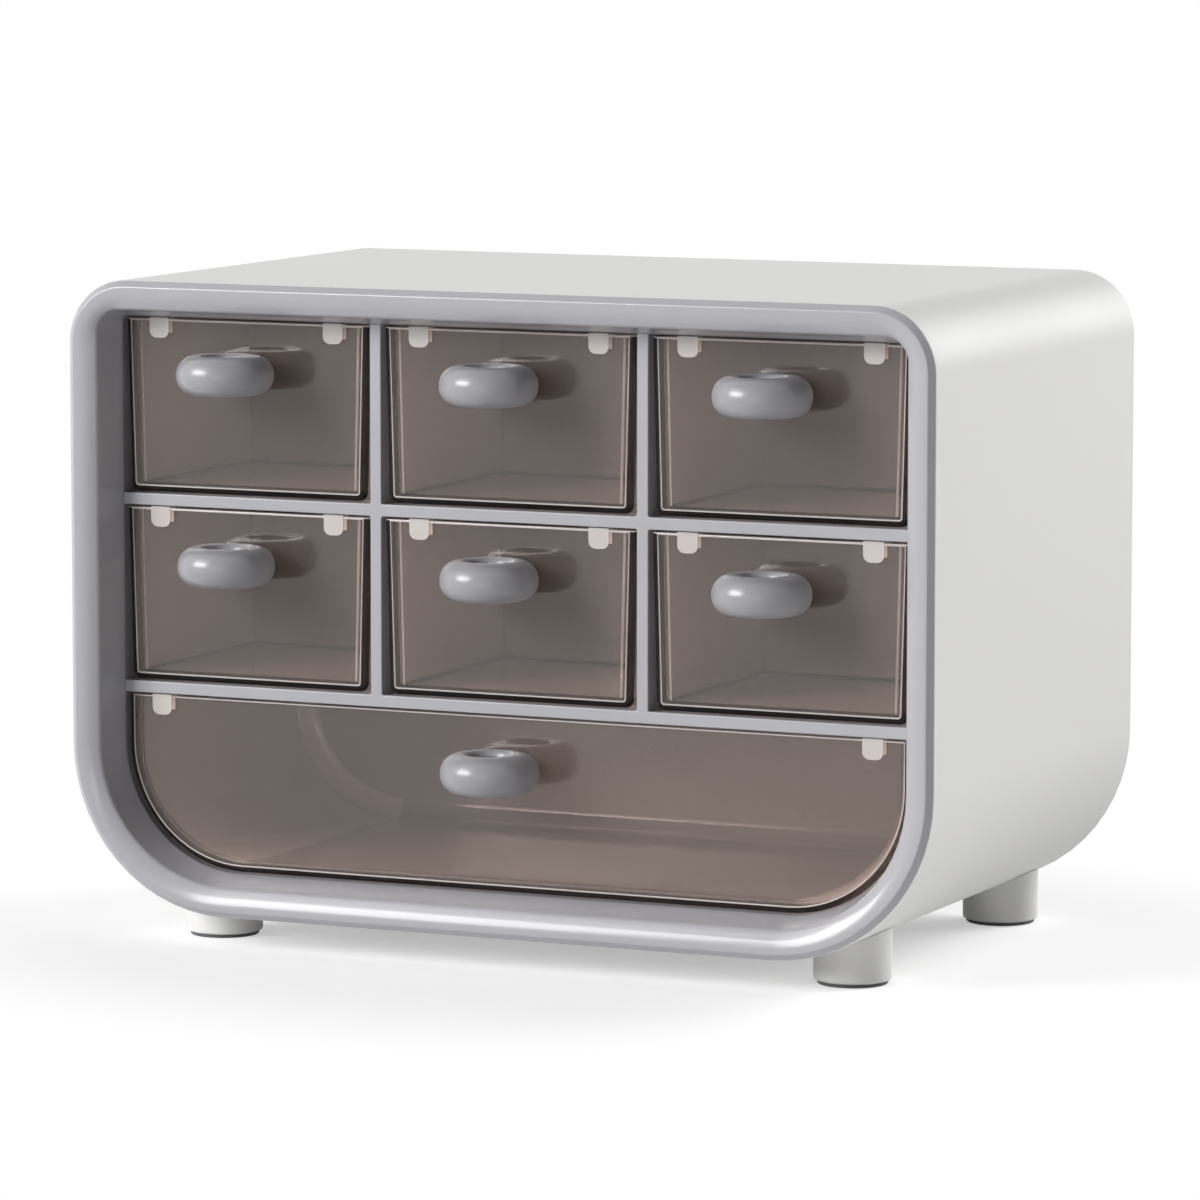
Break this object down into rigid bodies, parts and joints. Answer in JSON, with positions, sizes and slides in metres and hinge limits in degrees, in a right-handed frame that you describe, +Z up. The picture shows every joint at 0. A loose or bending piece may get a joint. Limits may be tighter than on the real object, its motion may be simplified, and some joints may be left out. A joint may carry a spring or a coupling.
{
  "type": "desktop drawer organizer",
  "caption": "Desktop drawer organizer: white rounded shell on round feet, grey rim and grid, smoky clear pull-out drawers with ring knobs and clear edge clips.",
  "frame": {"origin": "on the table under the middle of the whole object's box, drawers closed", "axes": "+X to the right seen from the front, +Y from the drawer fronts to the back, +Z up"},
  "size_m": [0.3, 0.1916, 0.215],
  "materials": {
    "white_shell": "satin white",
    "grey_rim": "satin warm grey",
    "knob_grey": "polished dark grey",
    "smoky_clear": "clear plastic with a warm smoky tint",
    "milky_clear": "milky clear plastic",
    "pad_rubber": "matt dark grey",
    "screw_steel": "zinc plated"
  },
  "bodies": {
    "cabinet": {"outer_shell": "white_shell", "front_frame": "grey_rim", "inner_sleeve": "grey_rim", "drawer_grid": "grey_rim", "rear_panel": "grey_rim", "rear_panel_screws": "screw_steel", "foot_screws": "screw_steel", "foot_front_left": "white_shell", "foot_front_right": "white_shell", "foot_rear_left": "white_shell", "foot_rear_right": "white_shell", "foot_pad_front_left": "pad_rubber", "foot_pad_front_right": "pad_rubber", "foot_pad_rear_left": "pad_rubber", "foot_pad_rear_right": "pad_rubber"},
    "drawer_top_left_body": {"drawer_top_left": "smoky_clear", "knob_top_left": "knob_grey", "knob_screw_top_left": "screw_steel", "clips_top_left": "milky_clear"},
    "drawer_top_centre_body": {"drawer_top_centre": "smoky_clear", "knob_top_centre": "knob_grey", "knob_screw_top_centre": "screw_steel", "clips_top_centre": "milky_clear"},
    "drawer_top_right_body": {"drawer_top_right": "smoky_clear", "knob_top_right": "knob_grey", "knob_screw_top_right": "screw_steel", "clips_top_right": "milky_clear"},
    "drawer_middle_left_body": {"drawer_middle_left": "smoky_clear", "knob_middle_left": "knob_grey", "knob_screw_middle_left": "screw_steel", "clips_middle_left": "milky_clear"},
    "drawer_middle_centre_body": {"drawer_middle_centre": "smoky_clear", "knob_middle_centre": "knob_grey", "knob_screw_middle_centre": "screw_steel", "clips_middle_centre": "milky_clear"},
    "drawer_middle_right_body": {"drawer_middle_right": "smoky_clear", "knob_middle_right": "knob_grey", "knob_screw_middle_right": "screw_steel", "clips_middle_right": "milky_clear"},
    "drawer_bottom_body": {"drawer_bottom": "smoky_clear", "knob_bottom": "knob_grey", "knob_screw_bottom": "screw_steel", "clips_bottom": "milky_clear"}
  },
  "joints": [
    {"name": "drawer_top_left_slide", "type": "slide", "parent": "cabinet", "child": "drawer_top_left_body", "axis": [0, -1, 0], "range_m": [0, 0.085]},
    {"name": "drawer_top_centre_slide", "type": "slide", "parent": "cabinet", "child": "drawer_top_centre_body", "axis": [0, -1, 0], "range_m": [0, 0.085]},
    {"name": "drawer_top_right_slide", "type": "slide", "parent": "cabinet", "child": "drawer_top_right_body", "axis": [0, -1, 0], "range_m": [0, 0.085]},
    {"name": "drawer_middle_left_slide", "type": "slide", "parent": "cabinet", "child": "drawer_middle_left_body", "axis": [0, -1, 0], "range_m": [0, 0.085]},
    {"name": "drawer_middle_centre_slide", "type": "slide", "parent": "cabinet", "child": "drawer_middle_centre_body", "axis": [0, -1, 0], "range_m": [0, 0.085]},
    {"name": "drawer_middle_right_slide", "type": "slide", "parent": "cabinet", "child": "drawer_middle_right_body", "axis": [0, -1, 0], "range_m": [0, 0.085]},
    {"name": "drawer_bottom_slide", "type": "slide", "parent": "cabinet", "child": "drawer_bottom_body", "axis": [0, -1, 0], "range_m": [0, 0.085]}
  ]
}
